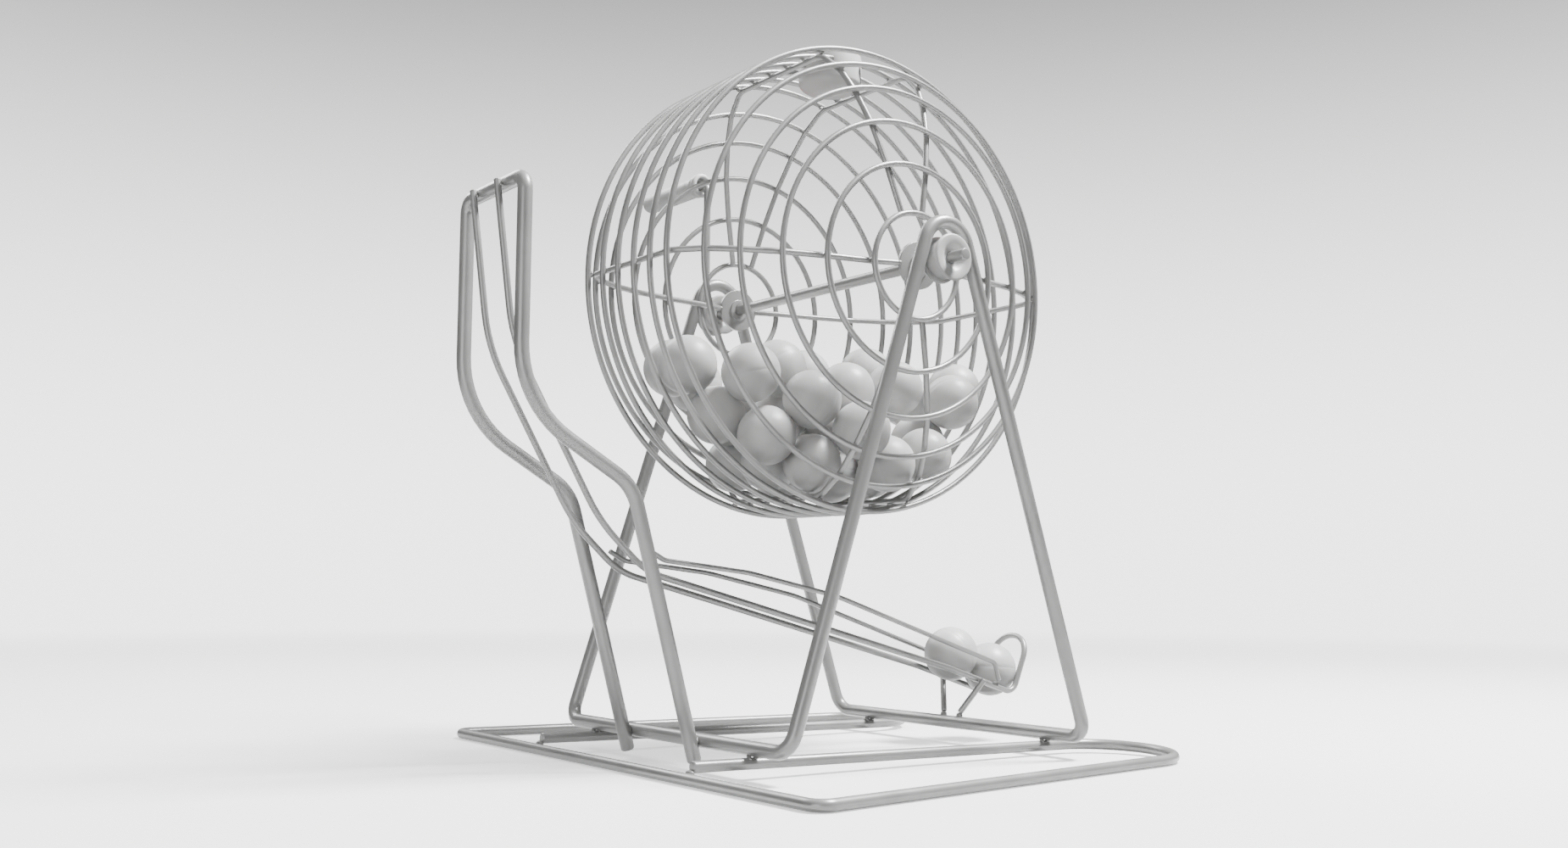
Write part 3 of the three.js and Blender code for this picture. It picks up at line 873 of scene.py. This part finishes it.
def base_side(side):
    """One side of the base rod, from the rail's cut end to the cross edge's corner."""
    far = base_edge_y(TURN_X)
    middle, half = (RAIL_Y + far) / 2, (far - RAIL_Y) / 2
    corners = [
        (RAIL_LEFT_X, side * RAIL_Y, RAIL_LEFT_Z, 0),
        (TURN_X, side * RAIL_Y, RAIL_RIGHT_Z, 0),
    ]
    steps = 36
    for i in range(1, steps):
        angle = math.pi * i / steps
        fall = (1 - math.cos(angle)) / 2
        corners.append(
            (
                TURN_X + U_BEND_R * math.sin(angle),
                side * (middle - half * math.cos(angle)),
                RAIL_RIGHT_Z + (BASE_ROD_R - RAIL_RIGHT_Z) * fall,
                0,
            )
        )
    corners.append((TURN_X - 24, side * base_edge_y(TURN_X - 24), BASE_ROD_R, 0))
    corners.append((BASE_LEFT_X, side * BASE_EDGE_Y, BASE_ROD_R, BASE_CORNER_R))
    return corners


def make_base():
    points = bent([*base_side(-1), *reversed(base_side(1))])
    verts, faces = sweep(points, BASE_ROD_R, 24)
    add_piece("base_rod_bent", verts, faces, "stand", WIRE, "wire", ["base_rod"])


def make_chute():
    near = [(x, -CHUTE_Y, z, bend) for x, z, bend in CHUTE_PROFILE]
    far = [(x, CHUTE_Y, z, bend) for x, z, bend in CHUTE_PROFILE]
    verts, faces = sweep(bent([*reversed(near), *far]), CHUTE_ROD_R, 24)
    add_piece("chute_frame_rod", verts, faces, "stand", WIRE, "wire", ["chute_frame"])


def track_side(side):
    return [(x, side * TRACK_Y, z, bend) for x, z, bend in TRACK_PROFILE]


def make_track():
    top_x, top_z = STOP_TOP
    arch = [(top_x, -TRACK_Y, top_z, STOP_BEND_R), (top_x, TRACK_Y, top_z, STOP_BEND_R)]
    points = bent([*track_side(-1), *arch, *reversed(track_side(1))], step=4)
    verts, faces = sweep(points, TRACK_WIRE_R, 14)
    add_piece("track_wire_bent", verts, faces, "stand", WIRE, "wire", ["track_wire"])


def make_guard():
    for node, side in (("front_guard_wire", -1), ("back_guard_wire", 1)):
        corners = [(x, side * GUARD_Y, z, bend) for x, z, bend in GUARD_PROFILE]
        verts, faces = sweep(bent(corners, step=4), GUARD_WIRE_R, 12)
        add_piece(f"{node}_bent", verts, faces, "stand", WIRE, "wire", [node])


def track_height(x):
    """Height of the track's wires at x."""
    line = bent(track_side(1))
    i = next(k for k, p in enumerate(line) if p.x > x)
    a, b = line[i - 1], line[i]
    return a.z + (b.z - a.z) * (x - a.x) / (b.x - a.x)


def make_struts():
    foot_height = foot_z(LEG_FOOT_X) + LEG_ROD_R + STRUT_WIRE_R + GAP
    top_y = TRACK_Y + TRACK_WIRE_R + STRUT_WIRE_R + 2 * GAP
    for node, side in (("front_track_strut", -1), ("back_track_strut", 1)):
        foot = Vector((LEG_FOOT_X + 0.6, side * STRUT_FOOT_Y, foot_height))
        top = Vector((STRUT_TOP_X, side * top_y, track_height(STRUT_TOP_X) + 0.5))
        verts, faces = sweep([foot, (foot + top) / 2, top], STRUT_WIRE_R, 16)
        add_piece(f"{node}_wire", verts, faces, "stand", WIRE, "wire", [node])


def make_stand_welds():
    """Beads where the stand's rods and wires are joined."""
    parts = []

    def weld(place, radius, stretch):
        parts.append(bead(place, radius, stretch, len(parts)))

    for side in (-1, 1):
        weld((RAIL_LEFT_X - 0.6, side * RAIL_Y, RAIL_LEFT_Z - 2), 1.3, (0, 1.6, 0))
        for x in (-LEG_FOOT_X, LEG_FOOT_X):
            middle = foot_z(x) - LEG_ROD_R - 0.15
            for edge in (-1, 1):
                weld((x + edge * 1.3, side * RAIL_Y, middle), 0.8, (0.8, 2.2, 0.8))
        weld((-LEG_FOOT_X - 2.8, side * CHUTE_Y, foot_z(-LEG_FOOT_X) + 0.5), 1.1, (0.9, 1.8, 0.9))
        top_x, top_z, _ = CHUTE_PROFILE[0]
        weld((top_x - CHUTE_ROD_R - 0.2, side * TRACK_Y, top_z - 0.8), 0.9, (0.6, 1.8, 0.6))
        strut_x = LEG_FOOT_X + 0.4
        foot = foot_z(LEG_FOOT_X) + LEG_ROD_R + 0.4
        weld((strut_x, side * STRUT_FOOT_Y, foot), 1.2, (0, 1.3, 0))
        strut_top = track_height(STRUT_TOP_X - 0.5)
        weld((STRUT_TOP_X - 0.4, side * (TRACK_Y + 1.1), strut_top), 0.9, (1.6, 0, 0))
        end_x, end_z, _ = GUARD_PROFILE[-1]
        weld((end_x, side * (GUARD_Y - 1.9), end_z - 1.4), 0.8, (0.8, 2.6, 0.8))
    verts, faces = merged(parts)
    add_piece("stand_welds", verts, faces, "stand", WELD, "wire", sharp=80)


# ---------------------------------------------------------------- floor, light, camera


def make_floor():
    """A wide pale floor that fades out far away, so that it meets the backdrop softly."""
    made = bmesh.new()
    bmesh.ops.create_circle(made, cap_ends=True, segments=96, radius=FLOOR_RADIUS)
    mesh = bpy.data.meshes.new("studio_floor")
    made.to_mesh(mesh)
    made.free()
    floor = bpy.data.objects.new("studio_floor", mesh)
    floor.location = (ORIGIN.x, ORIGIN.y, cad_box[0][2] - 0.0001)
    floor.visible_diffuse = False
    bpy.context.scene.collection.objects.link(floor)
    material, tree, shader = node_material("studio_floor", (0.86, 0.86, 0.86), 0.6, 0)
    shader.inputs["Specular IOR Level"].default_value = 0.2
    shader.inputs["Emission Color"].default_value = (1, 1, 1, 1)
    shader.inputs["Emission Strength"].default_value = FLOOR_GLOW
    place = tree.nodes.new("ShaderNodeTexCoord")
    length = tree.nodes.new("ShaderNodeVectorMath")
    length.operation = "LENGTH"
    tree.links.new(place.outputs["Object"], length.inputs[0])
    fade = tree.nodes.new("ShaderNodeMapRange")
    fade.interpolation_type = "SMOOTHSTEP"
    fade.inputs["From Min"].default_value = FLOOR_FADE[0]
    fade.inputs["From Max"].default_value = FLOOR_FADE[1]
    fade.inputs["To Min"].default_value = 1
    fade.inputs["To Max"].default_value = 0
    tree.links.new(length.outputs["Value"], fade.inputs["Value"])
    tree.links.new(fade.outputs["Result"], shader.inputs["Alpha"])
    mesh.materials.append(material)


def height_ramp(tree, vector, low, high):
    """A colour ramp over the height of a direction, from (position, tone) pairs."""
    split = tree.nodes.new("ShaderNodeSeparateXYZ")
    ramp = tree.nodes.new("ShaderNodeValToRGB")
    ramp.color_ramp.interpolation = "EASE"
    for stop, (position, tone) in zip(ramp.color_ramp.elements, (low, high)):
        stop.position, stop.color = position, (tone, tone, tone, 1)
    tree.links.new(vector, split.inputs["Vector"])
    tree.links.new(split.outputs["Z"], ramp.inputs["Fac"])
    return ramp


def make_backdrop():
    """A big pale dome behind everything, a little darker higher up. It lights nothing."""
    made = bmesh.new()
    bmesh.ops.create_icosphere(made, subdivisions=5, radius=1)
    mesh = bpy.data.meshes.new("studio_backdrop")
    made.to_mesh(mesh)
    made.free()
    dome = bpy.data.objects.new("studio_backdrop", mesh)
    dome.location = (ORIGIN.x, ORIGIN.y, 0)
    dome.scale = (BACKDROP_RADIUS,) * 3
    dome.visible_diffuse = False
    dome.visible_glossy = False
    dome.visible_shadow = False
    bpy.context.scene.collection.objects.link(dome)
    material = bpy.data.materials.new("studio_backdrop")
    material.use_nodes = True
    tree = material.node_tree
    tree.nodes.remove(tree.nodes["Principled BSDF"])
    glow = tree.nodes.new("ShaderNodeEmission")
    glow.inputs["Strength"].default_value = BACKDROP_STRENGTH
    place = tree.nodes.new("ShaderNodeTexCoord")
    ramp = height_ramp(tree, place.outputs["Object"], (0.04, 0.98), (0.46, 0.13))
    tree.links.new(ramp.outputs["Color"], glow.inputs["Color"])
    tree.links.new(glow.outputs["Emission"], tree.nodes["Material Output"].inputs["Surface"])
    mesh.materials.append(material)


def make_world():
    """Soft light from above, and little from below."""
    world = bpy.data.worlds.new("studio")
    bpy.context.scene.world = world
    world.use_nodes = True
    tree = world.node_tree
    background = tree.nodes["Background"]
    background.inputs["Strength"].default_value = WORLD_STRENGTH
    place = tree.nodes.new("ShaderNodeTexCoord")
    lift = tree.nodes.new("ShaderNodeMapping")
    lift.inputs["Location"].default_value = (0, 0, 0.5)
    lift.inputs["Scale"].default_value = (0.5, 0.5, 0.5)
    tree.links.new(place.outputs["Generated"], lift.inputs["Vector"])
    ramp = height_ramp(tree, lift.outputs["Vector"], (0.3, 0.18), (0.9, 1.0))
    tree.links.new(ramp.outputs["Color"], background.inputs["Color"])


def area_light(name, place, target, size, power):
    data = bpy.data.lights.new(name, "AREA")
    data.shape = "DISK"
    data.size = size
    data.energy = power
    light = bpy.data.objects.new(name, data)
    light.location = place
    light.rotation_euler = (target - light.location).to_track_quat("-Z", "Y").to_euler()
    bpy.context.scene.collection.objects.link(light)


def make_lights():
    target = at((0, 0, 120))
    for name, place, size, power in LIGHTS:
        area_light(name, at(place), target, size, power)


def make_camera():
    """Low and close, turned from the axle and tilted up a little."""
    data = bpy.data.cameras.new("camera")
    data.lens = CAMERA_LENS
    data.sensor_width = CAMERA_SENSOR
    data.clip_start = 0.01
    camera = bpy.data.objects.new("camera", data)
    yaw, pitch, roll = (math.radians(a) for a in (CAMERA_YAW, CAMERA_PITCH, CAMERA_ROLL))
    forward = Vector(
        (math.sin(yaw) * math.cos(pitch), math.cos(yaw) * math.cos(pitch), math.sin(pitch))
    )
    camera.location = at(CAMERA_PLACE)
    level = forward.to_track_quat("-Z", "Y").to_matrix()
    camera.rotation_euler = (level @ Matrix.Rotation(roll, 3, "Z")).to_euler()
    bpy.context.scene.collection.objects.link(camera)
    bpy.context.scene.camera = camera


make_rings()
make_ribs()
make_drum_welds()
make_hubs()
make_axle()
make_cup()
make_crank()
make_grip()
make_balls()
make_legs()
make_bushings()
make_base()
make_chute()
make_track()
make_guard()
make_struts()
make_stand_welds()
make_floor()
make_backdrop()
make_world()
make_lights()
make_camera()
